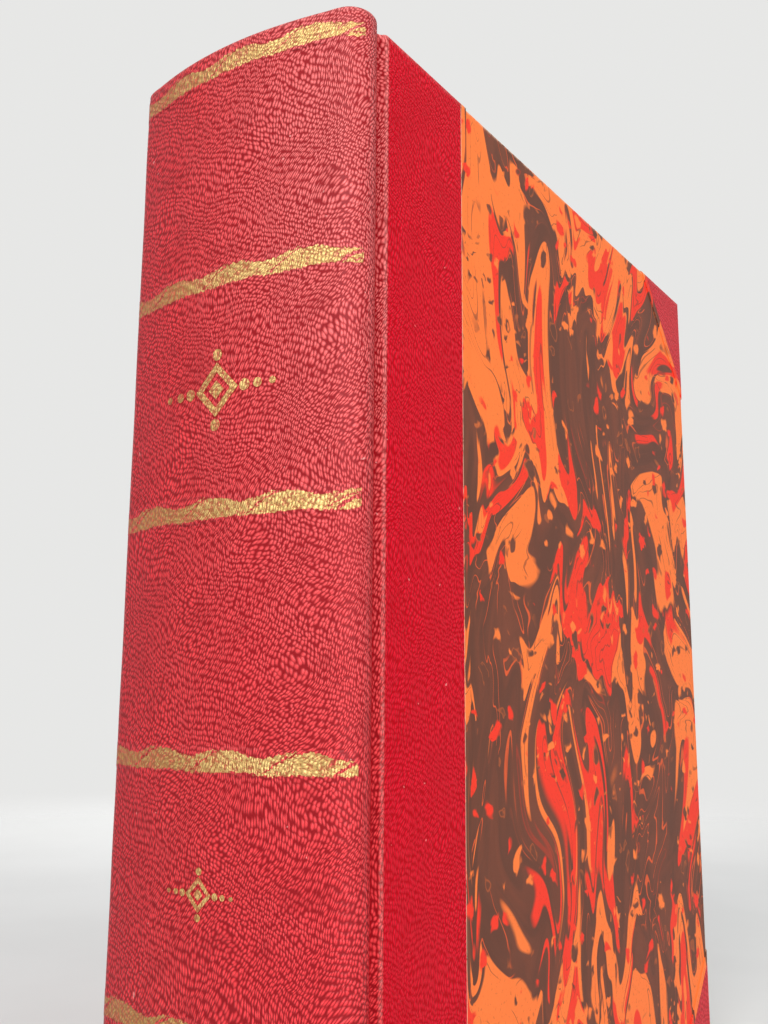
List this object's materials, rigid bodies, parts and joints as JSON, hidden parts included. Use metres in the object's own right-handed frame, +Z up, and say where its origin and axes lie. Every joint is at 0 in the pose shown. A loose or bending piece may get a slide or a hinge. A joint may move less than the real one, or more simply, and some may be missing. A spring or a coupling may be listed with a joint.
{
  "type": "antique leather book",
  "caption": "Half-leather book standing on its tail: rounded spine with gold bands, grooved joints, leather corners, marbled paper sides, covers that open.",
  "frame": {"origin": "on the floor under the middle of the closed book's box", "axes": "+Z up from tail to head, the spine looks towards -Y, the front cover is at +X"},
  "size_m": [0.0572, 0.1828, 0.23],
  "materials": {
    "leather": "pebbled grain, half gloss",
    "marbled_paper": "marbled paper, satin",
    "pages": "aged paper edges, matt",
    "endpaper": "aged plain paper, matt",
    "board": "grey millboard, matt",
    "mull": "open cotton weave",
    "tape": "linen tape",
    "endband": "striped woven silk",
    "gold": "worn gold foil"
  },
  "bodies": {
    "book_block": {"text_block": "pages", "front_flyleaf": "endpaper", "back_flyleaf": "endpaper", "spine_lining": "mull", "sewing_tapes": "tape", "headband": "endband", "tailband": "endband", "spine_stiffener": "board", "spine_leather": "leather", "gold_band_1": "gold", "gold_band_2": "gold", "gold_band_3": "gold", "gold_band_4": "gold", "gold_band_5": "gold", "gold_band_6": "gold", "panel_ornament": "gold", "small_ornament": "gold"},
    "front_cover": {"front_board": "board", "front_leather": "leather", "front_head_corner": "leather", "front_tail_corner": "leather", "front_marbled_paper": "marbled_paper", "front_pastedown": "endpaper"},
    "back_cover": {"back_board": "board", "back_leather": "leather", "back_head_corner": "leather", "back_tail_corner": "leather", "back_marbled_paper": "marbled_paper", "back_pastedown": "endpaper"}
  },
  "joints": [
    {"name": "front_cover_joint", "type": "hinge", "parent": "book_block", "child": "front_cover", "pos_m": [0.0284, -0.07795, 0.115], "axis": [0, 0, -1], "range_deg": [0, 175]},
    {"name": "back_cover_joint", "type": "hinge", "parent": "book_block", "child": "back_cover", "pos_m": [-0.0284, -0.07795, 0.115], "axis": [0, 0, 1], "range_deg": [0, 175]}
  ]
}
